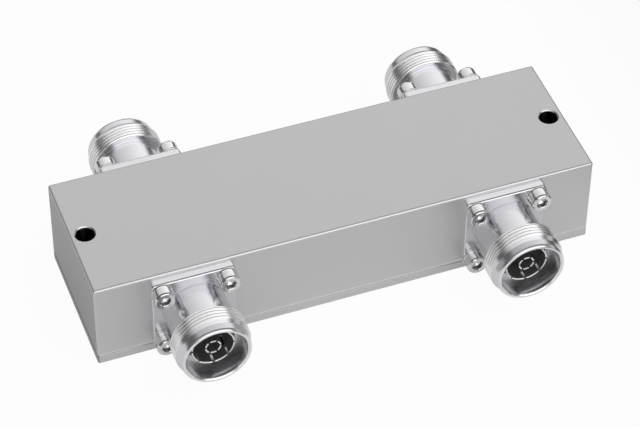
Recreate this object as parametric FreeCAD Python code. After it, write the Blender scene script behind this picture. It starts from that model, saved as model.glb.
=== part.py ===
import FreeCAD, Part
import math
import os

# Four-port hybrid coupler. A milled aluminium box holds two coupled lines; a full-size plate
# closes it from below. Two jacks on each long side carry the ends of the lines outside.
# Millimetres, +X along the box, +Y towards the rear ports, +Z up.
# The origin is the middle of the box's underside.

# Box
box_length = 136.0
box_depth = 40.5
box_height = 26.6
cover_thickness = 2.5
upright_edge_radius = 0.6
top_edge_radius = 0.6
foot_edge_radius = 0.4
cover_edge_chamfer = 0.15

# Chamber milled into the housing from below
side_wall = 6.5
end_wall = 10.0
roof = 3.0
chamber_corner_radius = 4.0

# Two through holes for mounting, on the centre line of the box near its ends
mount_hole_end_distance = 4.0
mount_hole_radius = 2.5
mount_hole_chamfer = 0.3

# Cover screws, countersunk M2.5, along both side walls: one in the middle, one just inside each
# port and one near each end
cover_screw_port_distance = 12.5
cover_screw_end_distance = 8.0
cover_screw_shift = 0.2
cover_screw_radius = 1.25
cover_screw_tap_radius = 1.3
cover_screw_clearance = 0.2
cover_screw_length = 7.0
cover_screw_hole_spare = 0.5
cover_screw_head_radius = 2.35
cover_screw_head_height = 1.4
cover_screw_head_sink = 0.1
cover_screw_socket_flats = 1.5
cover_screw_socket_depth = 0.9

# Conductive cord around the chamber, in a groove of the housing's rim
cover_groove_offset = 0.5
cover_groove_width = 1.0
cover_groove_depth = 1.0
cover_seal_clearance = 0.05

# Places of the four port axes on the side faces
port_end_distance = 25.5
port_height = 14.6

# Port flange
flange_width = 22.4
flange_thickness = 2.65
flange_corner_radius = 1.2
flange_edge_chamfer = 0.15
flange_hole_pitch = 17.2
flange_hole_radius = 1.65

# Port body: radii about its axis, and stations measured outward from the side face of the box
spigot_radius = 7.0
spigot_length = 1.5
spigot_clearance = 0.05
neck_radius = 8.2
neck_root_chamfer = 0.4
thread_radius = 10.0
thread_start = 12.4
thread_end = 16.9
thread_back_chamfer = 0.3
nose_radius = 9.35
nose_start = 18.1
nose_edge_chamfer = 0.3
mouth_station = 20.5
mouth_bore_radius = 8.05
mouth_bore_chamfer = 0.25
mouth_bore_floor = 13.2
basket_seat_radius = 6.2
basket_seat_floor = 5.8
bead_seat_radius = 5.6
bead_seat_floor = 1.6
line_bore_radius = 5.0

# Ring seal in the flange's rear face
flange_groove_radius = 8.9
flange_groove_width = 1.5
flange_groove_depth = 0.9
flange_seal_clearance = 0.15

# Outer contact: a basket of spring fingers pressed into the body
basket_press_clearance = 0.02
basket_press_length = 3.8
basket_bore_radius = 5.0
finger_outer_radius = 5.72
finger_inner_radius = 5.32
finger_ridge_height = 0.12
finger_ridge_length = 1.2
contact_recess = 3.5
finger_count = 8
finger_slot_width = 0.5
finger_slot_length = 6.2

# Inner contact: a slotted socket, a neck for the bead, a shoulder and a tail for the line
socket_radius = 2.15
socket_bore_radius = 1.75
socket_bore_depth = 7.0
socket_finger_count = 6
socket_slot_width = 0.45
socket_slot_length = 5.0
bead_neck_radius = 1.5
shoulder_reach = 2.5
tail_radius = 1.0
tail_length = 5.0

# Bead that centres the inner contact
bead_clearance = 0.03
bead_slit_width = 0.4

# Flange screws, M3 socket head cap, each with a captive washer under its head
screw_radius = 1.5
screw_tap_radius = 1.55
screw_length = 8.0
screw_hole_spare = 0.4
screw_head_radius = 2.75
screw_head_height = 3.0
screw_head_chamfer = 0.3
screw_washer_radius = 2.85
screw_washer_thickness = 0.5
screw_socket_flats = 2.5
screw_socket_depth = 1.3

# Coupled lines: two flat bars on edge, close together in the middle of the chamber
bar_thickness = 2.5
bar_height = 8.0
bar_corner_radius = 1.0
centre_gap = 1.2
centre_half_length = 15.0
jog_length = 5.0
outer_gap = 6.0
foot_width = 6.0
foot_clearance = 0.1
tail_hole_clearance = 0.05
tail_hole_spare = 0.5

# Insulating combs that hold the lines between roof and cover
comb_length = 6.0
comb_width = 19.0
comb_slot_clearance = 0.1
comb_port_distance = 14.5

# Places worked out from the sizes above
half_length = box_length / 2
half_depth = box_depth / 2
chamber_half_length = half_length - end_wall
chamber_half_width = half_depth - side_wall
chamber_top = box_height - roof
port_shift = half_length - port_end_distance
mount_hole_shift = half_length - mount_hole_end_distance
cover_screw_reach = half_length - cover_screw_end_distance
cover_screw_inner = port_shift - cover_screw_port_distance
outer_comb_shift = port_shift - comb_port_distance
flange_hole_shift = flange_hole_pitch / 2
basket_press_end = basket_seat_floor + basket_press_length
contact_tip = mouth_station - contact_recess
shoulder_station = -side_wall - shoulder_reach
foot_face = chamber_half_width - shoulder_reach - foot_clearance
screw_hole_depth = screw_length - flange_thickness + screw_hole_spare
cover_screw_line = half_depth - side_wall / 2 + cover_screw_shift
cover_screw_tip = cover_screw_head_sink + cover_screw_length
bar_bottom = port_height - bar_height / 2
bar_top = port_height + bar_height / 2

origin = FreeCAD.Vector(0, 0, 0)
up = FreeCAD.Vector(0, 0, 1)
flat = 1e-6


def cylinder(radius, low, high, x=0.0, y=0.0):
    """Upright cylinder between two heights."""
    return Part.makeCylinder(radius, high - low, FreeCAD.Vector(x, y, low), up)


def cone(low_radius, high_radius, low, high, x=0.0, y=0.0):
    """Upright cone between two heights."""
    return Part.makeCone(low_radius, high_radius, high - low, FreeCAD.Vector(x, y, low), up)


def block(x_low, x_high, y_low, y_high, z_low, z_high):
    """Box between two corners."""
    size = (x_high - x_low, y_high - y_low, z_high - z_low)
    return Part.makeBox(*size, FreeCAD.Vector(x_low, y_low, z_low))


def upright_edges(solid):
    """Straight edges that run along Z."""
    return [edge for edge in solid.Edges if edge.BoundBox.XLength < flat and edge.BoundBox.YLength < flat]


def edges_at_height(solid, height):
    """Edges that lie flat at one height."""
    return [edge for edge in solid.Edges
            if edge.BoundBox.ZLength < flat and abs(edge.BoundBox.ZMin - height) < flat]


def rounded_block(reach_x, reach_y, low, high, radius):
    """Block centred on Z with rounded upright edges."""
    solid = block(-reach_x, reach_x, -reach_y, reach_y, low, high)
    return solid.makeFillet(radius, upright_edges(solid))


def hexagonal_hole(across_flats, low, high):
    """Upright hexagonal prism about Z."""
    corner = across_flats / math.sqrt(3)
    points = []
    for step in range(7):
        angle = math.radians(60 * step)
        points.append(FreeCAD.Vector(corner * math.cos(angle), corner * math.sin(angle), low))
    return Part.Face(Part.makePolygon(points)).extrude(FreeCAD.Vector(0, 0, high - low))


def turned(outline):
    """Solid turned about Z from (radius, height) points."""
    points = [FreeCAD.Vector(radius, 0, height) for radius, height in outline]
    return Part.Face(Part.makePolygon(points + points[:1])).revolve(origin, up, 360)


def cut_all(solid, tools):
    """Take several tools away from a solid."""
    return solid.cut(Part.makeCompound(tools))


def slots(count, width, reach, low, high):
    """Narrow radial slots out to a radius, evenly spaced about Z."""
    cutters = []
    for number in range(count):
        cutter = block(0, reach, -width / 2, width / 2, low, high)
        cutter.rotate(origin, up, 360 * number / count)
        cutters.append(cutter)
    return cutters


# Columns are -1 left and 1 right; rows are -1 front and 1 rear
port_places = {"port_1": (-1, -1), "port_2": (1, -1), "port_3": (-1, 1), "port_4": (1, 1)}
flange_holes = [(i * flange_hole_shift, j * flange_hole_shift) for i in (-1, 1) for j in (-1, 1)]
mount_holes = [-mount_hole_shift, mount_hole_shift]
cover_screw_row = [-cover_screw_reach, -cover_screw_inner, 0, cover_screw_inner, cover_screw_reach]
cover_screw_places = [(x, side * cover_screw_line) for x in cover_screw_row for side in (-1, 1)]


def at_port(shape, column, row):
    """Turn a port piece from its own axis, +Z outward, to its place on a side face."""
    placed = shape.copy()
    placed.rotate(origin, FreeCAD.Vector(1, 0, 0), 90)
    placed.translate(FreeCAD.Vector(-row * column * port_shift, -half_depth, port_height))
    if row > 0:
        placed.rotate(origin, up, 180)
    return placed


def mount_hole(x):
    """Through hole for a mounting screw, chamfered at both ends."""
    rim = mount_hole_radius + mount_hole_chamfer
    return [cylinder(mount_hole_radius, 0, box_height, x),
            cone(rim, mount_hole_radius, 0, mount_hole_chamfer, x),
            cone(mount_hole_radius, rim, box_height - mount_hole_chamfer, box_height, x)]


def port_pocket():
    """What a port takes from the side wall: spigot seat, line bore and tapped holes."""
    tools = [cylinder(spigot_radius + spigot_clearance, -spigot_length - spigot_clearance, 0)]
    tools.append(cylinder(line_bore_radius, -side_wall, 0))
    for x, y in flange_holes:
        tools.append(cylinder(screw_tap_radius, -screw_hole_depth, 0, x, y))
    return Part.makeCompound(tools)


def ring_round_chamber(near, far, low, high):
    """Rounded ring between two offsets from the chamber's wall."""
    outer = rounded_block(chamber_half_length + far, chamber_half_width + far, low, high,
                          chamber_corner_radius + far)
    inner = rounded_block(chamber_half_length + near, chamber_half_width + near, low, high,
                          chamber_corner_radius + near)
    return outer.cut(inner)


def make_housing():
    """Milled block, open below, with port pockets in both sides."""
    body = rounded_block(half_length, half_depth, cover_thickness, box_height, upright_edge_radius)
    body = body.makeFillet(top_edge_radius, edges_at_height(body, box_height))
    body = body.makeFillet(foot_edge_radius, edges_at_height(body, cover_thickness))
    tools = [rounded_block(chamber_half_length, chamber_half_width, cover_thickness, chamber_top,
                           chamber_corner_radius)]
    tools.append(ring_round_chamber(cover_groove_offset, cover_groove_offset + cover_groove_width,
                                    cover_thickness, cover_thickness + cover_groove_depth))
    for x, y in cover_screw_places:
        hole_top = cover_screw_tip + cover_screw_hole_spare
        tools.append(cylinder(cover_screw_tap_radius, cover_thickness, hole_top, x, y))
    for x in mount_holes:
        tools += mount_hole(x)
    for column, row in port_places.values():
        tools.append(at_port(port_pocket(), column, row))
    for tool in tools:
        body = body.cut(tool)
    return body


def make_base_cover():
    """Flat plate with countersunk holes on its underside."""
    plate = rounded_block(half_length, half_depth, 0, cover_thickness, upright_edge_radius)
    rims = edges_at_height(plate, 0) + edges_at_height(plate, cover_thickness)
    plate = plate.makeChamfer(cover_edge_chamfer, rims)
    shank = cover_screw_radius + cover_screw_clearance
    head = cover_screw_head_radius + cover_screw_clearance
    cone_top = cover_screw_head_sink + cover_screw_head_height
    tools = []
    for x, y in cover_screw_places:
        tools.append(cylinder(shank, 0, cover_thickness, x, y))
        tools.append(cylinder(head, 0, cover_screw_head_sink, x, y))
        tools.append(cone(head, shank, cover_screw_head_sink, cone_top, x, y))
    for x in mount_holes:
        tools += mount_hole(x)
    for tool in tools:
        plate = plate.cut(tool)
    return plate


def make_cover_seal():
    """Cord ring that fills the groove down to the cover."""
    near = cover_groove_offset + cover_seal_clearance
    far = cover_groove_offset + cover_groove_width - cover_seal_clearance
    return ring_round_chamber(near, far, cover_thickness, cover_thickness + cover_groove_depth)


def make_cover_screw(x, y):
    """Countersunk screw, head down, with a hexagonal socket."""
    low = cover_screw_head_sink
    neck = low + cover_screw_head_height
    screw = cone(cover_screw_head_radius, cover_screw_radius, low, neck)
    screw = screw.fuse(cylinder(cover_screw_radius, neck, cover_screw_tip))
    screw = screw.cut(hexagonal_hole(cover_screw_socket_flats, low, low + cover_screw_socket_depth))
    screw.translate(FreeCAD.Vector(x, y, 0))
    return screw


def make_port_body():
    """Jack body in one piece: spigot, square flange, neck, threaded shell and mouth."""
    shell = turned([
        (line_bore_radius, -spigot_length),
        (spigot_radius, -spigot_length),
        (spigot_radius, flange_thickness / 2),
        (neck_radius + neck_root_chamfer, flange_thickness),
        (neck_radius, flange_thickness + neck_root_chamfer),
        (neck_radius, thread_start),
        (thread_radius - thread_back_chamfer, thread_start),
        (thread_radius, thread_start + thread_back_chamfer),
        (thread_radius, thread_end),
        (nose_radius, nose_start),
        (nose_radius, mouth_station - nose_edge_chamfer),
        (nose_radius - nose_edge_chamfer, mouth_station),
        (mouth_bore_radius + mouth_bore_chamfer, mouth_station),
        (mouth_bore_radius, mouth_station - mouth_bore_chamfer),
        (mouth_bore_radius, mouth_bore_floor),
        (basket_seat_radius, mouth_bore_floor),
        (basket_seat_radius, basket_seat_floor),
        (bead_seat_radius, basket_seat_floor),
        (bead_seat_radius, bead_seat_floor),
        (line_bore_radius, bead_seat_floor),
    ])
    plate = rounded_block(flange_width / 2, flange_width / 2, 0, flange_thickness, flange_corner_radius)
    plate = plate.makeChamfer(flange_edge_chamfer, edges_at_height(plate, flange_thickness))
    plate = plate.cut(cylinder(spigot_radius, 0, flange_thickness))
    outer = flange_groove_radius + flange_groove_width / 2
    inner = flange_groove_radius - flange_groove_width / 2
    groove = cylinder(outer, 0, flange_groove_depth).cut(cylinder(inner, 0, flange_groove_depth))
    plate = cut_all(plate, [groove] + [cylinder(flange_hole_radius, 0, flange_thickness, x, y)
                                       for x, y in flange_holes])
    return shell.fuse(plate).removeSplitter()


def make_outer_contact():
    """Basket with a press ring behind and a row of spring fingers in front."""
    press_radius = basket_seat_radius - basket_press_clearance
    ridge = finger_outer_radius + finger_ridge_height
    basket = turned([
        (basket_bore_radius, basket_seat_floor),
        (press_radius, basket_seat_floor),
        (press_radius, basket_press_end),
        (finger_outer_radius, basket_press_end),
        (finger_outer_radius, contact_tip - finger_ridge_length),
        (ridge, contact_tip - finger_ridge_length / 2),
        (finger_outer_radius, contact_tip),
        (finger_inner_radius, contact_tip),
        (finger_inner_radius, basket_press_end),
        (basket_bore_radius, basket_press_end),
    ])
    slot_floor = contact_tip - finger_slot_length
    cutters = slots(finger_count, finger_slot_width, basket_seat_radius, slot_floor, contact_tip)
    return cut_all(basket, cutters)


def make_inner_contact():
    """Slotted socket in front, neck for the bead, shoulder and tail behind."""
    contact = turned([
        (0, shoulder_station - tail_length),
        (tail_radius, shoulder_station - tail_length),
        (tail_radius, shoulder_station),
        (socket_radius, shoulder_station),
        (socket_radius, bead_seat_floor),
        (bead_neck_radius, bead_seat_floor),
        (bead_neck_radius, basket_seat_floor),
        (socket_radius, basket_seat_floor),
        (socket_radius, contact_tip),
        (socket_bore_radius, contact_tip),
        (socket_bore_radius, contact_tip - socket_bore_depth),
        (0, contact_tip - socket_bore_depth),
    ])
    slot_floor = contact_tip - socket_slot_length
    cutters = slots(socket_finger_count, socket_slot_width, basket_bore_radius, slot_floor, contact_tip)
    return cut_all(contact, cutters)


def make_insulator():
    """Slit bead that snaps over the inner contact's neck."""
    low = bead_seat_floor + bead_clearance
    high = basket_seat_floor - bead_clearance
    bead = cylinder(bead_seat_radius - bead_clearance, low, high)
    bead = bead.cut(cylinder(bead_neck_radius + bead_clearance, low, high))
    return cut_all(bead, slots(1, bead_slit_width, bead_seat_radius, low, high))


def make_flange_seal():
    """Ring that fills the groove in the flange down to the box."""
    outer = flange_groove_radius + flange_groove_width / 2 - flange_seal_clearance
    inner = flange_groove_radius - flange_groove_width / 2 + flange_seal_clearance
    return cylinder(outer, 0, flange_groove_depth).cut(cylinder(inner, 0, flange_groove_depth))


def make_flange_screw(x, y):
    """Socket head cap screw, its washer seated on the flange."""
    head = flange_thickness + screw_washer_thickness
    tip = head - screw_length
    top = head + screw_head_height
    screw = turned([
        (0, tip),
        (screw_radius, tip),
        (screw_radius, flange_thickness),
        (screw_washer_radius, flange_thickness),
        (screw_washer_radius, head),
        (screw_head_radius, head),
        (screw_head_radius, top - screw_head_chamfer),
        (screw_head_radius - screw_head_chamfer, top),
        (0, top),
    ])
    screw = screw.cut(hexagonal_hole(screw_socket_flats, top - screw_socket_depth, top))
    screw.translate(FreeCAD.Vector(x, y, 0))
    return screw


def make_line(row):
    """Bar on edge from the left to the right port of one row, with a drilled foot at each port."""
    foot_left = port_shift - foot_width / 2
    foot_right = port_shift + foot_width / 2
    jog_end = centre_half_length + jog_length
    inner = centre_gap / 2
    outer = outer_gap / 2
    right_half = [
        (centre_half_length, inner),
        (jog_end, outer),
        (foot_right, outer),
        (foot_right, foot_face),
        (foot_left, foot_face),
        (foot_left, outer + bar_thickness),
        (jog_end, outer + bar_thickness),
        (centre_half_length, inner + bar_thickness),
    ]
    left_half = [(-x, y) for x, y in reversed(right_half)]
    points = [FreeCAD.Vector(x, row * y, bar_bottom) for x, y in right_half + left_half]
    bar = Part.Face(Part.makePolygon(points + points[:1])).extrude(FreeCAD.Vector(0, 0, bar_height))
    inside_corners = [edge for edge in upright_edges(bar)
                      if abs(abs(edge.BoundBox.XMin) - foot_left) < flat
                      and abs(abs(edge.BoundBox.YMin) - outer - bar_thickness) < flat]
    bar = bar.makeFillet(bar_corner_radius, inside_corners)
    hole_floor = shoulder_station - tail_length - tail_hole_spare
    hole = cylinder(tail_radius + tail_hole_clearance, hole_floor, shoulder_station)
    return cut_all(bar, [at_port(hole, column, row) for column in (-1, 1)])


def make_comb(x, gap):
    """Slab across the chamber with a slot from below for each bar."""
    comb = block(x - comb_length / 2, x + comb_length / 2, -comb_width / 2, comb_width / 2,
                 cover_thickness, chamber_top)
    near = gap / 2 - comb_slot_clearance
    far = gap / 2 + bar_thickness + comb_slot_clearance
    slot_top = bar_top + comb_slot_clearance
    for low, high in ((near, far), (-far, -near)):
        comb = comb.cut(block(x - comb_length, x + comb_length, low, high, cover_thickness, slot_top))
    return comb


nodes = {
    "housing": make_housing(),
    "base_cover": make_base_cover(),
    "cover_seal": make_cover_seal(),
    "cover_screws": Part.makeCompound([make_cover_screw(x, y) for x, y in cover_screw_places]),
    "front_line": make_line(-1),
    "rear_line": make_line(1),
    "line_support_left": make_comb(-outer_comb_shift, outer_gap),
    "line_support_middle": make_comb(0, centre_gap),
    "line_support_right": make_comb(outer_comb_shift, outer_gap),
}
port_pieces = {
    "body": make_port_body(),
    "outer_contact": make_outer_contact(),
    "inner_contact": make_inner_contact(),
    "insulator": make_insulator(),
    "flange_seal": make_flange_seal(),
}
flange_screw_set = Part.makeCompound([make_flange_screw(x, y) for x, y in flange_holes])
flange_screws = []
for port, (column, row) in port_places.items():
    for piece, shape in port_pieces.items():
        nodes[port + "_" + piece] = at_port(shape, column, row)
    flange_screws += at_port(flange_screw_set, column, row).Solids
nodes["flange_screws"] = Part.makeCompound(flange_screws)

os.makedirs("parts", exist_ok=True)
for name, shape in nodes.items():
    shape.exportStep("parts/" + name + ".step")
    state = "valid" if shape.isValid() else "invalid"
    print(name, state, len(shape.Solids), "solids", round(shape.Volume, 1))
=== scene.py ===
import math

import bpy
from mathutils import Matrix, Vector


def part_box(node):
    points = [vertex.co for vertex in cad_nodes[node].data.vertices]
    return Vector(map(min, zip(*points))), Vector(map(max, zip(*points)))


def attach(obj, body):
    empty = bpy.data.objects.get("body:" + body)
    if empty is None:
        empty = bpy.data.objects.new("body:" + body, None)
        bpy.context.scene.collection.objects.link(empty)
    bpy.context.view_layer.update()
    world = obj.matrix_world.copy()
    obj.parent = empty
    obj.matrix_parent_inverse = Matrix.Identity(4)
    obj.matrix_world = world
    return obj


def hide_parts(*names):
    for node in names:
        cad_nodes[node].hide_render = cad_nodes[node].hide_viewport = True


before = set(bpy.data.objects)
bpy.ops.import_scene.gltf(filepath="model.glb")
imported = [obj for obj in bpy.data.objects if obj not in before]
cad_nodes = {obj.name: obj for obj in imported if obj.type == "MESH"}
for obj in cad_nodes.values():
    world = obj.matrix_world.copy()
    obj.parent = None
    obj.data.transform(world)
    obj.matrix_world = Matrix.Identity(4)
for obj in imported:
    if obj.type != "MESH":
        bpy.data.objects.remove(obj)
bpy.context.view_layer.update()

scene = bpy.context.scene
scene.view_settings.view_transform = "Standard"


# Camera. It looks down on the coupler from the front left, from far away through a long lens,
# so the long edges of the box run almost parallel. It aims at a point under the box.
camera_aim = (0.00384, 0.01133, 0)
camera_distance = 0.73922
camera_azimuth = math.radians(20.5416)
camera_elevation = math.radians(45.2335)
camera_roll = math.radians(0.5045)
camera_lens = 154.4
camera_film_width = 36.0

camera_data = bpy.data.cameras.new("camera")
camera_data.lens = camera_lens
camera_data.sensor_width = camera_film_width
camera = bpy.data.objects.new("camera", camera_data)
camera_turn = Matrix.Rotation(-camera_azimuth, 4, "Z")
camera_turn = camera_turn @ Matrix.Rotation(math.pi / 2 - camera_elevation, 4, "X")
camera_turn = camera_turn @ Matrix.Rotation(camera_roll, 4, "Z")
camera_back = Matrix.Translation((0, 0, camera_distance))
camera.matrix_world = Matrix.Translation(camera_aim) @ camera_turn @ camera_back
scene.collection.objects.link(camera)
scene.camera = camera


# Studio light. A broad soft box stands behind the coupler and fades towards the left. Another
# hangs over it, with a dark gap between the two, and a low strip runs in front. A dim low light
# at the right, a small round one at the left and the glow of the room are the rest.
class Shade:
    """One output of a node tree. Sums, differences and products of it add their Math nodes."""

    def __init__(self, tree, socket=None):
        self.tree = tree
        self.socket = socket

    def add(self, kind, settings=None, inputs=None, output=0):
        """Any node: its settings first, then the values or links of its sockets."""
        node = self.tree.nodes.new("ShaderNode" + kind)
        for name, value in (settings or {}).items():
            setattr(node, name, value)
        for name, value in (inputs or {}).items():
            if isinstance(value, Shade):
                self.tree.links.new(value.socket, node.inputs[name])
            else:
                node.inputs[name].default_value = value
        return Shade(self.tree, node.outputs[output] if len(node.outputs) else None)

    def math(self, operation, first, second):
        """Math node on two values."""
        return self.add("Math", {"operation": operation}, {0: first, 1: second})

    def __add__(self, other):
        return self.math("ADD", self, other)

    __radd__ = __add__

    def __sub__(self, other):
        return self.math("SUBTRACT", self, other)

    def __rsub__(self, other):
        return self.math("SUBTRACT", other, self)

    def __mul__(self, other):
        return self.math("MULTIPLY", self, other)

    __rmul__ = __mul__

    def greater(self, other):
        """The greater of two values."""
        return self.math("MAXIMUM", self, other)

    def between(self, gone, full):
        """0 at one value and 1 at the other, smooth between them and level beyond."""
        return self.add("MapRange", {"interpolation_type": "SMOOTHSTEP"},
                        {"Value": self, "From Min": gone, "From Max": full})

    def part(self, axis):
        """One coordinate of a vector."""
        return self.add("SeparateXYZ", None, {0: self}, axis)

    def vector(self, operation, *others):
        """Vector Math node, whose result is a number for a length or a dot product."""
        output = "Value" if operation in ("LENGTH", "DOT_PRODUCT") else "Vector"
        inputs = dict(enumerate((self, *others)))
        return self.add("VectorMath", {"operation": operation}, inputs, output)

    def from_upright(self):
        """Distance of a place from the upright axis through the origin."""
        return self.vector("MULTIPLY", (1, 1, 0)).vector("LENGTH")


studio = bpy.data.worlds.new("studio")
scene.world = studio
studio.use_nodes = True
sky = Shade(studio.node_tree)
sky_way = sky.add("TexCoord", output="Generated")
sky_x, sky_y, sky_z = (sky_way.part(axis) for axis in range(3))


def soft_box(level, rise, *edges):
    """Soft light whose level rises with X. An edge is a coordinate of the direction, its value
    where the light is gone and its value where the light is full."""
    light = sky_x * rise + level
    for coordinate, gone, full in edges:
        light = light * coordinate.between(gone, full)
    return light


def round_light(level, centre, full_angle, gone_angle):
    """Round soft light about a direction. It is full and gone at these angles, in degrees."""
    aim = sky_way.vector("DOT_PRODUCT", Vector(centre).normalized())
    full, gone = (math.cos(math.radians(angle)) for angle in (full_angle, gone_angle))
    return aim.between(gone, full) * level


rear_light = soft_box(0.82, 0.45, (sky_x, -0.72, -0.52), (sky_y, 0.20, 0.66), (sky_z, 0.14, 0.34))
upper_light = soft_box(0.88, 0.36, (sky_x, -1.05, -0.50), (sky_x, 0.92, 0.74),
                       (sky_y, -0.62, -0.42), (sky_y, 0.12, 0.00), (sky_z, 0.35, 0.60))
front_light = soft_box(1.35, 0.30, (sky_x, -0.64, -0.40), (sky_x, 0.75, 0.68),
                       (sky_y, -0.42, -0.62), (sky_z, -0.02, 0.05))
right_light = soft_box(0.50, 0.00, (sky_x, 0.82, 0.94), (sky_z, 0.42, 0.24))
left_light = round_light(1.1, (-0.74, -0.66, 0.14), full_angle=4, gone_angle=13)
room_level = 0.12
light = rear_light + upper_light + front_light + right_light + left_light + room_level
background = studio.node_tree.nodes["Background"]
background.inputs["Color"].default_value = (1, 1, 1, 1)
studio.node_tree.links.new(light.socket, background.inputs["Strength"])


# Floor. Plain pale paper that the coupler stands on. The picture and the metal see most of it
# as even white, and what is left keeps a faint shadow. To the right, out of the picture, it is
# dark, because the metal mirrors darker surroundings there.
floor_size = 40.0
floor_gap = 0.00005
floor_pale = 0.86
floor_dark = 0.10
floor_pale_until = 0.07
floor_dark_from = 0.13
floor_white_seen = 0.95
floor_white_mirrored = 0.32

# Sockets of the Mix node that hold its two colours and its result.
mix_first = 6
mix_second = 7
mix_colour = 2


def new_shade(name):
    """Empty material, and the handle that its nodes are added by."""
    material = bpy.data.materials.new(name)
    material.use_nodes = True
    material.node_tree.nodes.clear()
    return material, Shade(material.node_tree)


def grey(level, blue=0.0):
    """Colour of this level, with a little more or less blue."""
    return (level, level, level + blue, 1)


def tone(factor, first, second):
    """Colour that goes from one to another as the factor goes from 0 to 1."""
    inputs = {"Factor": factor, mix_first: first, mix_second: second}
    return factor.add("Mix", {"data_type": "RGBA"}, inputs, mix_colour)


def floor_paper():
    """Matt paper, with a glow where rays from the camera, mirrors or glass meet it."""
    material, shade = new_shade("floor_paper")
    pale = shade.add("TexCoord", output="Object").part(0)
    pale = pale.between(floor_dark_from, floor_pale_until)
    seen = shade.add("LightPath", output="Is Camera Ray")
    mirrored = shade.add("LightPath", output="Is Glossy Ray")
    through = shade.add("LightPath", output="Is Transmission Ray")
    white = (seen + through) * floor_white_seen + mirrored * pale * floor_white_mirrored
    paper = tone(pale, grey(floor_dark), grey(floor_pale))
    matt = shade.add("BsdfDiffuse", None, {"Color": paper})
    glow = shade.add("Emission", None, {"Color": (1, 1, 1, 1), "Strength": 1.0})
    surface = shade.add("MixShader", None, {0: white, 1: matt, 2: glow})
    shade.add("OutputMaterial", None, {"Surface": surface})
    return material


bpy.ops.object.select_all(action="DESELECT")
bpy.ops.mesh.primitive_plane_add(size=floor_size, location=(0, 0, -floor_gap))
bpy.ops.object.transform_apply(location=True)
floor = bpy.context.object
floor.name = "floor"
floor.data.materials.append(floor_paper())


# Housing. One milled aluminium block, blasted to a satin grey and open from below. Its edges
# are broken smooth after blasting. Painted shade darkens its end faces, a band where its level
# faces turn into the edges and the walls of its two mounting holes, and a painted highlight, a
# light line, runs just above the seam of the cover.
mount_hole_end_distance = 0.004
mount_hole_radius = 0.0025
seam_highlight_tone = 1.24
end_shade_tone = 0.63
upper_edge_shade_tone = 0.75
hole_shade_grey = 0.16

# Zones of the finish, by how squarely a face points along an axis, by the height above the seam
# and by the distance from a mounting hole's axis: where each begins and where it is full.
flat_facing = (0.93, 0.995)
end_shade_facing = (0.93, 0.99)
upper_edge_shade_low = (0.78, 0.84)
upper_edge_shade_high = (0.999, 0.99)
upright_wall_facing = (0.2, 0.1)
seam_highlight_low = (0, 0.0001)
seam_highlight_high = (0.0011, 0.0005)
hole_shade_wall = (mount_hole_radius + 0.00012, mount_hole_radius + 0.00005)

housing_low, housing_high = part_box("housing")
mount_hole_shift = (housing_high.x - housing_low.x) / 2 - mount_hole_end_distance


def set_surface(shade, **sockets):
    """Close a material with its Principled shader; socket names have _ for a space."""
    inputs = {name.replace("_", " "): value for name, value in sockets.items()}
    surface = shade.add("BsdfPrincipled", None, inputs)
    shade.add("OutputMaterial", None, {"Surface": surface})


def dress(node, material):
    """Give a CAD node its finish."""
    for place in cad_nodes[node].material_slots:
        place.material = material
    if not cad_nodes[node].material_slots:
        cad_nodes[node].data.materials.append(material)


def blasted_aluminium(name, level, edge_level, grain_scale):
    """Satin metal: fine blasting grain and faint clouds on its faces, smooth edges of their own
    grey.
    Painted shade darkens the end faces, a band where level faces turn into the edges and the
    walls of the mounting holes, and a painted highlight is a light line just above the seam.
    """
    material, shade = new_shade(name)
    place = shade.add("TexCoord", output="Object")
    grain = shade.add("TexNoise", None, {"Vector": place, "Scale": grain_scale, "Detail": 3.0})
    clouds = shade.add("TexNoise", None, {"Vector": place, "Scale": 55.0, "Detail": 2.0})
    bump = shade.add("Bump", None, {"Height": grain, "Strength": 0.25, "Distance": 0.00004})

    facing = shade.add("NewGeometry", output="Normal").vector("ABSOLUTE")
    facing_x, facing_y, facing_z = (facing.part(axis) for axis in range(3))
    flat = facing_x.greater(facing_y).greater(facing_z).between(*flat_facing)
    painted_upper_edge_shade = facing_z.between(*upper_edge_shade_low) * facing_z.between(*upper_edge_shade_high)
    end = facing_x.between(*end_shade_facing)

    above_seam = place.part(2) - housing_low.z
    painted_seam_highlight = above_seam.between(*seam_highlight_low) * above_seam.between(*seam_highlight_high)
    from_hole = place.vector("ABSOLUTE").vector("SUBTRACT", (mount_hole_shift, 0, 0)).from_upright()
    hole = from_hole.between(*hole_shade_wall) * facing_z.between(*upright_wall_facing)

    face = tone(clouds * 0.6 + grain * 0.4, grey(level * 0.97, level * 0.01),
                grey(level * 1.03, level * 0.015))
    # Painted highlight: a lighter line just above the seam of the cover.
    face = tone(painted_seam_highlight, face, grey(level * seam_highlight_tone, level * 0.01))
    # Painted shade: the end faces are darker than the long faces.
    face = tone(end, face, grey(level * end_shade_tone, level * 0.01))
    # Painted shade: a darker band where the level faces turn into the edges.
    edge = tone(painted_upper_edge_shade, grey(edge_level, edge_level * 0.02),
                grey(level * upper_edge_shade_tone, level * 0.01))
    colour = tone(flat * (1 - painted_upper_edge_shade), edge, face)
    # Painted shade on the walls of the mounting holes.
    colour = tone(hole, colour, grey(hole_shade_grey, 0.005))
    set_surface(shade, Base_Color=colour, Metallic=1.0,
                Roughness=0.20 + flat * 0.20 + clouds * 0.06, Normal=bump)
    return material


housing_satin = blasted_aluminium("housing_satin", level=0.61, edge_level=0.60, grain_scale=3400.0)
dress("housing", housing_satin)


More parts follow.
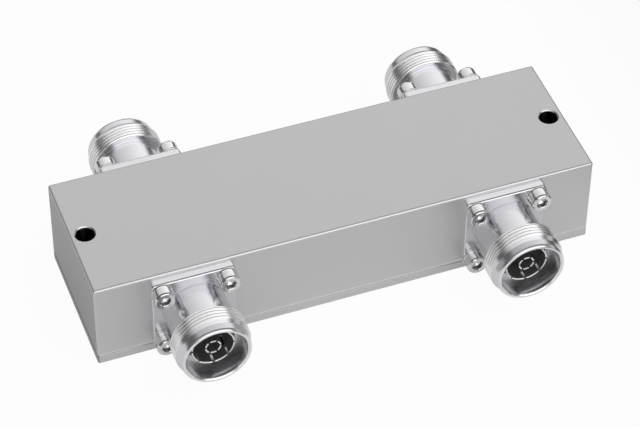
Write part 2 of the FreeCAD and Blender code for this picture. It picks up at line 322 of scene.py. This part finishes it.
# Base cover and its screws. A flat aluminium plate of the same finish closes the housing from
# below, held by ten countersunk stainless screws.
def bright_steel(name, painted_shade_zone=None):
    """Polished stainless steel with a few fine marks, and painted shade, darker and rougher, where
    a zone says so.
    """
    material, shade = new_shade(name)
    place = shade.add("TexCoord", output="Object")
    marks = shade.add("TexNoise", None, {"Vector": place, "Scale": 900.0, "Detail": 4.0})
    bump = shade.add("Bump", None, {"Height": marks, "Strength": 0.10, "Distance": 0.00003})
    steel = tone(marks, grey(0.70, 0.01), grey(0.80))
    rough = 0.08 + marks * 0.08
    if painted_shade_zone:
        # Painted shade: darker and rougher where the zone says so.
        painted_shade = painted_shade_zone(shade)
        steel = tone(painted_shade, steel, grey(0.30, 0.01))
        rough = rough + painted_shade * 0.25
    set_surface(shade, Base_Color=steel, Metallic=1.0, Roughness=rough, Normal=bump)
    return material


cover_satin = blasted_aluminium("cover_satin", level=0.59, edge_level=0.34, grain_scale=3000.0)
dress("base_cover", cover_satin)
dress("cover_screws", bright_steel("screw_steel"))


# Lines, supports and cord inside. Two silver-plated brass bars stand on edge in slotted
# fluoroplastic combs, and a conductive cord seals the joint of housing and cover.
def silver_plating():
    """Bright silver with soft clouds."""
    material, shade = new_shade("line_silver")
    place = shade.add("TexCoord", output="Object")
    clouds = shade.add("TexNoise", None, {"Vector": place, "Scale": 400.0, "Detail": 3.0})
    silver = tone(clouds, (0.82, 0.81, 0.79, 1), (0.90, 0.89, 0.87, 1))
    set_surface(shade, Base_Color=silver, Metallic=1.0, Roughness=0.22 + clouds * 0.10)
    return material


def moulded(name, dark, pale, rough, grain_scale):
    """Matt plastic or rubber with a fine skin."""
    material, shade = new_shade(name)
    place = shade.add("TexCoord", output="Object")
    grain = shade.add("TexNoise", None, {"Vector": place, "Scale": grain_scale, "Detail": 3.0})
    bump = shade.add("Bump", None, {"Height": grain, "Strength": 0.3, "Distance": 0.00005})
    set_surface(shade, Base_Color=tone(grain, dark, pale), Metallic=0.0,
                Roughness=rough + grain * 0.1, Normal=bump)
    return material


line_silver = silver_plating()
support_white = moulded("support_white", grey(0.84, -0.02), grey(0.90, -0.02), 0.45, 1500.0)
cord_grey = moulded("cord_grey", grey(0.38, 0.01), grey(0.50, 0.01), 0.70, 4000.0)
for line in ("front_line", "rear_line"):
    dress(line, line_silver)
for comb in ("line_support_left", "line_support_middle", "line_support_right"):
    dress(comb, support_white)
dress("cover_seal", cord_grey)


# Jack bodies. Each is turned and milled in one piece from brass and plated bright: a square
# flange with a faced front, a neck, a threaded shell and a plain nose that tapers to a rounded
# lip. Millimetres, the port's axis up, stations from the side face of the box.
millimetre = 0.001
turn_steps = 96
smooth_limit = math.radians(10)
sharp_limit = math.radians(40)
merge_distance = 0.0001
cut_overrun = 1.0
jack_edge_break = 0.08

line_bore_radius = 5.0
spigot_radius = 7.0
spigot_length = 1.5
neck_radius = 8.2
bore_radius = 8.05
bore_floor = 13.2
basket_seat_radius = 6.2
basket_seat_floor = 5.8
bead_seat_radius = 5.6
bead_seat_floor = 1.6
mouth_station = 20.5

thread_start = 12.4
thread_radius = 10.0
thread_pitch = 1.0
thread_depth = 0.34
groove_start = 11.85
groove_back = 0.05
groove_turns = 5
triangle_height = 1 + math.sin(math.radians(30))  # for a corner radius of 1

flange_width = 22.4
flange_thickness = 2.65
flange_corner = 1.2
flange_corner_steps = 12
flange_edge_height = 0.35
flange_edge_fall = 0.09
flange_rim = 0.20
flange_hole_shift = 8.6
flange_hole_radius = 1.65
seal_groove_inner = 8.15
seal_groove_outer = 9.65
seal_groove_depth = 0.9

# Zones of the plating: where each begins and where it is full.
crest_low = (11.8, 12.0)
crest_high = (17.2, 17.0)
crest_radius = (9.3, 9.4)
lip_station = (20.2, 20.3)
flange_shade_low = (2.60, 2.64)
flange_shade_high = (2.72, 2.68)
contact_bore_shade = (7.4, 7.0)
mouth_light_bore = (8.13, 8.06)
mouth_light_depth = (18.5, 15.0)

jack_outline = [
    (line_bore_radius, -spigot_length), (spigot_radius, -spigot_length), (spigot_radius, 1.3),
    (8.33, flange_thickness), (neck_radius, 3.15), (neck_radius, thread_start),
    (9.7, thread_start), (thread_radius, 12.7), (thread_radius, 16.9), (9.40, 18.0),
    (9.26, 19.68), (9.14, 20.10), (8.99, 20.33), (8.81, mouth_station), (8.4, mouth_station),
    (bore_radius, 20.15), (bore_radius, bore_floor), (basket_seat_radius, bore_floor),
    (basket_seat_radius, basket_seat_floor), (bead_seat_radius, basket_seat_floor),
    (bead_seat_radius, bead_seat_floor), (line_bore_radius, bead_seat_floor),
    (line_bore_radius, -spigot_length),
]
seal_groove_outline = [
    (seal_groove_inner, -cut_overrun), (seal_groove_outer, -cut_overrun),
    (seal_groove_outer, seal_groove_depth), (seal_groove_inner, seal_groove_depth),
    (seal_groove_inner, -cut_overrun),
]
flange_hole_outline = [
    (flange_hole_radius, -cut_overrun), (flange_hole_radius, flange_thickness + cut_overrun),
]
flange_corners = [(side * flange_hole_shift, end * flange_hole_shift, 0)
                  for side in (-1, 1) for end in (-1, 1)]
ports = (1, 2, 3, 4)


def open_piece(name):
    """Name the primitive just added and open it for editing."""
    piece = bpy.context.object
    piece.name = name
    piece.data.name = name
    bpy.ops.object.mode_set(mode="EDIT")
    return piece


def close_piece():
    """Merge what meets, fill open ends, turn all faces outward and leave edit mode."""
    bpy.ops.mesh.select_all(action="SELECT")
    bpy.ops.mesh.remove_doubles(threshold=merge_distance)
    bpy.ops.mesh.fill_holes(sides=0)
    bpy.ops.mesh.normals_make_consistent(inside=False)
    bpy.ops.object.mode_set(mode="OBJECT")


def turned(name, outline):
    """Lathe work: a ring is drawn out along (radius, height) points."""
    bpy.ops.object.select_all(action="DESELECT")
    radius, height = outline[0]
    bpy.ops.mesh.primitive_circle_add(vertices=turn_steps, radius=radius)
    piece = open_piece(name)
    bpy.ops.transform.translate(value=(0, 0, height))
    for next_radius, next_height in outline[1:]:
        rise = (0, 0, next_height - height)
        bpy.ops.mesh.extrude_edges_move(TRANSFORM_OT_translate={"value": rise})
        grow = next_radius / radius
        bpy.ops.transform.resize(value=(grow, grow, 1), center_override=(0, 0, 0))
        radius, height = next_radius, next_height
    close_piece()
    return piece


def block(name, size, middle):
    """Box at its size and place, left open for editing."""
    bpy.ops.object.select_all(action="DESELECT")
    bpy.ops.mesh.primitive_cube_add(size=1)
    piece = open_piece(name)
    bpy.ops.transform.resize(value=size, center_override=(0, 0, 0))
    bpy.ops.transform.translate(value=middle)
    return piece


def choose_edges(piece, wanted):
    """Select the edges whose two ends pass a test, and nothing else."""
    bpy.ops.mesh.select_mode(type="EDGE")
    bpy.ops.mesh.select_all(action="DESELECT")
    bpy.ops.object.mode_set(mode="OBJECT")
    points = piece.data.vertices
    for edge in piece.data.edges:
        edge.select = wanted(*(points[number].co for number in edge.vertices))
    bpy.ops.object.mode_set(mode="EDIT")


def apply_modifier(piece, kind, **settings):
    """Add a modifier with these settings and apply it."""
    bpy.context.view_layer.objects.active = piece
    bpy.ops.object.modifier_add(type=kind)
    modifier = piece.modifiers[-1]
    for name, value in settings.items():
        setattr(modifier, name, value)
    bpy.ops.object.modifier_apply(modifier=modifier.name)


def soften(piece, width):
    """Break every sharp edge by a small chamfer."""
    apply_modifier(piece, "BEVEL", width=width, segments=1, limit_method="ANGLE",
                   angle_limit=sharp_limit)


def combine(piece, tool, operation="DIFFERENCE"):
    """Cut a tool from a piece, or add it, and use the tool up."""
    apply_modifier(piece, "BOOLEAN", object=tool, operation=operation, solver="EXACT")
    bpy.data.objects.remove(tool)


def copy_of(piece, matrix):
    """Another such piece with a mesh of its own, moved by a matrix."""
    copy = piece.copy()
    copy.data = piece.data.copy()
    copy.data.transform(matrix)
    scene.collection.objects.link(copy)
    return copy


def join(pieces):
    """Several pieces as one, under the first one's name."""
    bpy.ops.object.select_all(action="DESELECT")
    for piece in pieces:
        piece.select_set(True)
    bpy.context.view_layer.objects.active = pieces[0]
    bpy.ops.object.join()
    return pieces[0]


def thread_groove():
    """Helical cutter with an even triangle for its section."""
    bpy.ops.object.select_all(action="DESELECT")
    radius = (thread_depth + groove_back) / triangle_height
    bpy.ops.mesh.primitive_circle_add(vertices=3, radius=radius, rotation=(math.pi / 2, 0, 0))
    bpy.ops.object.transform_apply(rotation=True)
    groove = open_piece("thread_groove")
    bpy.ops.transform.rotate(value=math.pi / 2, orient_axis="Y", center_override=(0, 0, 0))
    reach = thread_radius + groove_back - radius / 2
    bpy.ops.transform.translate(value=(reach, 0, groove_start))
    bpy.ops.object.mode_set(mode="OBJECT")
    apply_modifier(groove, "SCREW", axis="Z", angle=2 * math.pi, screw_offset=thread_pitch,
                   iterations=groove_turns, steps=turn_steps, render_steps=turn_steps)
    bpy.ops.object.mode_set(mode="EDIT")
    close_piece()
    return groove


def flange_plate():
    """Square flange with round corners, a broken front edge, a seal groove and four holes."""
    plate = flange_thickness - flange_edge_height - flange_rim
    flange = block("flange", (flange_width, flange_width, plate), (0, 0, plate / 2))
    choose_edges(flange, lambda a, b: abs(a.z - b.z) > plate / 2)
    bpy.ops.mesh.bevel(offset=flange_corner, segments=flange_corner_steps, affect="EDGES")
    choose_edges(flange, lambda a, b: min(a.z, b.z) > plate / 2)
    for rise, fall in ((flange_edge_height, flange_edge_fall), (flange_rim, flange_rim)):
        bpy.ops.mesh.extrude_region_move(TRANSFORM_OT_translate={"value": (0, 0, rise)})
        shrink = 1 - 2 * fall / flange_width
        bpy.ops.transform.resize(value=(shrink, shrink, 1), center_override=(0, 0, 0))
    close_piece()
    combine(flange, turned("seal_groove", seal_groove_outline))
    for corner in flange_corners:
        hole = turned("flange_hole", flange_hole_outline)
        hole.data.transform(Matrix.Translation(corner))
        combine(flange, hole)
    return flange


def axis_place(shade):
    """Place about the port's axis, as the finished pieces keep it."""
    return shade.add("Attribute", {"attribute_name": "on_axis"}, output="Vector")


def bright_plating():
    """White bronze with turning marks. Crests and lip are brighter, part wear and part painted
    highlight. Painted shade darkens the flange's front and the deep bore round the contacts, and
    painted light makes the wall of the mouth pale."""
    material, shade = new_shade("jack_plating")
    place = axis_place(shade)
    station = place.part(2)
    radius = place.from_upright()
    rings = shade.add("CombineXYZ", None, {"X": radius * 5.0, "Y": station * 5.0})
    rings = shade.add("TexNoise", None, {"Vector": rings, "Scale": 1.0, "Detail": 3.0})
    clouds = shade.add("TexNoise", None, {"Vector": place, "Scale": 0.35, "Detail": 2.0})
    bump = shade.add("Bump", None, {"Height": rings, "Strength": 0.06, "Distance": 0.00003})

    # Crests and lip: brighter, part wear and part painted highlight.
    crests = station.between(*crest_low) * station.between(*crest_high)
    crests = crests * radius.between(*crest_radius)
    lip = station.between(*lip_station)
    # Painted shade on the flange's front.
    painted_flange_shade = station.between(*flange_shade_low) * station.between(*flange_shade_high)
    # Painted shade deep in the bore round the contacts.
    inside = radius.between(*contact_bore_shade)
    # Painted light: a pale wall in the mouth.
    mouth = radius.between(*mouth_light_bore) * station.between(*mouth_light_depth) * (1 - inside)

    colour = tone(clouds * 0.7 + rings * 0.3, (0.71, 0.705, 0.73, 1), (0.77, 0.765, 0.79, 1))
    colour = tone(crests + lip * 0.6, colour, grey(0.90, 0.01))
    colour = tone(painted_flange_shade, colour, (0.62, 0.615, 0.635, 1))
    colour = tone(inside, colour, grey(0.12))
    colour = tone(mouth, colour, grey(0.86, 0.01))
    set_surface(shade, Base_Color=colour, Metallic=1.0, Normal=bump,
                Roughness=0.17 + clouds * 0.06 + rings * 0.04 + mouth * 0.15)
    return material


def port_frame(number):
    """From a port's own millimetres, its axis up, to its place on the box in metres."""
    low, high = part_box(f"port_{number}_body")
    middle = (low + high) / 2
    front = middle.y < 0
    side = housing_low.y if front else housing_high.y
    turn = Matrix.Rotation(0 if front else math.pi, 4, "Z") @ Matrix.Rotation(math.pi / 2, 4, "X")
    return Matrix.Translation((middle.x, side, middle.z)) @ turn @ Matrix.Scale(millimetre, 4)


def finish(piece):
    """Smooth a piece between its edges, and keep each point's place about the port's axis."""
    bpy.ops.object.select_all(action="DESELECT")
    piece.select_set(True)
    bpy.context.view_layer.objects.active = piece
    bpy.ops.object.shade_smooth_by_angle(angle=smooth_limit)
    numbers = [value for point in piece.data.vertices for value in point.co]
    places = piece.data.attributes.new("on_axis", "FLOAT_VECTOR", "POINT")
    places.data.foreach_set("vector", numbers)


def mount(piece, node_ending, material):
    """Finish a piece and set one copy of it in each port in place of a CAD node."""
    finish(piece)
    piece.data.materials.clear()
    piece.data.materials.append(material)
    for number in ports:
        fitted = copy_of(piece, port_frame(number))
        fitted.name = f"{piece.name}_{number}"
        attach(fitted, "root")
        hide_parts(f"port_{number}_{node_ending}")
    bpy.data.objects.remove(piece)


jack = turned("jack_body", jack_outline)
soften(jack, jack_edge_break)
combine(jack, thread_groove())
combine(jack, flange_plate(), "UNION")
mount(jack, "body", bright_plating())


# Outer contacts. A basket of eight spring fingers, turned and slit from bronze and plated with
# silver, is pressed into the jack up to its shoulder. The tips are worn bright; below them the
# silver is darker, partly tarnished and partly painted shade of the deep bore.
contact_tip = 17.0
contact_bright_length = 0.15
finger_count = 8
finger_outer = 5.72
finger_inner = 5.32
finger_ridge = 5.84
finger_slot_width = 0.62
finger_slot_floor = 10.8
press_radius = 6.18
press_end = 9.6
basket_bore = 5.0
basket_edge_break = 0.05

basket_outline = [
    (basket_bore, basket_seat_floor), (press_radius, basket_seat_floor), (press_radius, press_end),
    (finger_outer, press_end), (finger_outer, 15.8), (finger_ridge, 16.4),
    (finger_outer, contact_tip), (finger_inner, contact_tip), (finger_inner, press_end),
    (basket_bore, press_end), (basket_bore, basket_seat_floor),
]


def cut_slots(piece, count, width, near, far, low):
    """Saw evenly spaced slots through the wall between two radii, from the tip to a low end."""
    high = contact_tip + cut_overrun
    slot = block("slot", (far - near, width, high - low), ((near + far) / 2, 0, (low + high) / 2))
    close_piece()
    turns = [Matrix.Rotation(2 * math.pi * number / count, 4, "Z") for number in range(1, count)]
    combine(piece, join([slot] + [copy_of(slot, turn) for turn in turns]))


def contact_plating():
    """Silver with soft clouds, worn bright at the tips of the fingers and darker below them,
    partly tarnished and partly painted shade of the deep bore.
    """
    material, shade = new_shade("contact_silver")
    place = axis_place(shade)
    clouds = shade.add("TexNoise", None, {"Vector": place, "Scale": 1.5, "Detail": 3.0})
    worn = place.part(2).between(contact_tip - 2 * contact_bright_length,
                                 contact_tip - contact_bright_length)
    silver = tone(clouds, grey(0.84, -0.01), grey(0.92, -0.01))
    # Below the tips the silver is darker, partly tarnished and partly painted shade.
    tarnish_and_shade = tone(clouds, grey(0.38, 0.01), grey(0.46, 0.01))
    set_surface(shade, Base_Color=tone(worn, tarnish_and_shade, silver), Metallic=1.0,
                Roughness=0.40 - worn * 0.15 + clouds * 0.10)
    return material


basket = turned("outer_contact", basket_outline)
cut_slots(basket, finger_count, finger_slot_width, near=4.6, far=6.4, low=finger_slot_floor)
soften(basket, basket_edge_break)
contact_silver = contact_plating()
mount(basket, "outer_contact", contact_silver)


# Inner contacts. A slit socket takes the plug's pin in front; the neck behind it sits in the
# bead, and the thin tail is soldered into the line.
socket_finger_count = 6
socket_slot_width = 0.52
socket_slot_floor = 12.0
socket_radius = 2.15
socket_bore_radius = 1.75
bead_neck_radius = 1.5
tail_radius = 1.0
shoulder_station = -9.0
socket_edge_break = 0.04

socket_outline = [
    (0.8, -14.0), (tail_radius, -13.8), (tail_radius, shoulder_station),
    (socket_radius, shoulder_station), (socket_radius, bead_seat_floor),
    (bead_neck_radius, bead_seat_floor), (bead_neck_radius, basket_seat_floor),
    (socket_radius, basket_seat_floor), (socket_radius, contact_tip),
    (socket_bore_radius, contact_tip), (socket_bore_radius, 10.0), (0.1, 9.4),
]

socket = turned("inner_contact", socket_outline)
cut_slots(socket, socket_finger_count, socket_slot_width, near=1.2, far=2.6, low=socket_slot_floor)
soften(socket, socket_edge_break)
mount(socket, "inner_contact", contact_silver)


# Beads and flange seals. A slit plastic bead centres each inner contact, and a rubber ring lies
# in the groove behind each flange.
# The bead's mid grey is painted light in the deep bore, lighter than its own matt black.
bead_plastic = moulded("bead_plastic", grey(0.36, 0.005), grey(0.42, 0.005), 0.45, 1500.0)
seal_black = moulded("seal_black", grey(0.10), grey(0.14), 0.60, 3000.0)
for number in ports:
    dress(f"port_{number}_insulator", bead_plastic)
    dress(f"port_{number}_flange_seal", seal_black)


# Flange screws. Sixteen bright stainless socket head cap screws hold the four flanges. Each has
# a captive washer, a rounded rim and a broached hexagonal socket over a drill point. The walls
# of each socket carry painted shade.
screw_radius = 1.5
screw_washer_radius = 2.85
screw_head_radius = 2.75
screw_head_top = 6.15
screw_socket_flats = 2.5
screw_socket_floor = 4.85
screw_cutter_length = 3.0
screw_drill_radius = 1.22

# Zones of the steel: where each begins and where it is full.
screw_socket_wall = (1.47, 1.45)
screw_socket_foot = (4.86, 4.92)

screw_outline = [
    (1.2, -4.85), (screw_radius, -4.55), (screw_radius, flange_thickness),
    (screw_washer_radius, flange_thickness), (screw_washer_radius, 2.85), (2.77, 3.15),
    (2.68, 3.25), (screw_head_radius, 3.35), (screw_head_radius, 5.52), (2.65, 5.90),
    (2.45, screw_head_top), (1.60, screw_head_top), (1.45, 6.00),
]
screw_drill_outline = [(0.05, 4.15), (screw_drill_radius, 4.80), (screw_drill_radius, 4.95)]


def socket_wall_shade(shade):
    """Where painted shade falls on a screw: 1 on the walls of its broached socket and 0 elsewhere.
    """
    place = axis_place(shade)
    near_wall = place.from_upright().between(*screw_socket_wall)
    return near_wall * place.part(2).between(*screw_socket_foot)


screw = turned("flange_screw", screw_outline)
bpy.ops.object.select_all(action="DESELECT")
bpy.ops.mesh.primitive_cylinder_add(vertices=6, radius=screw_socket_flats / math.sqrt(3),
                                    depth=screw_cutter_length, rotation=(0, 0, math.pi / 6),
                                    location=(0, 0, screw_socket_floor + screw_cutter_length / 2))
bpy.ops.object.transform_apply(location=True, rotation=True)
combine(screw, bpy.context.object)
combine(screw, turned("drill_point", screw_drill_outline))
finish(screw)
screw_set = join([copy_of(screw, port_frame(number) @ Matrix.Translation(corner))
                  for number in ports for corner in flange_corners])
bpy.data.objects.remove(screw)
screw_set.name = "flange_screw_set"
screw_set.data.materials.append(bright_steel("socket_steel", socket_wall_shade))
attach(screw_set, "root")
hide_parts("flange_screws")
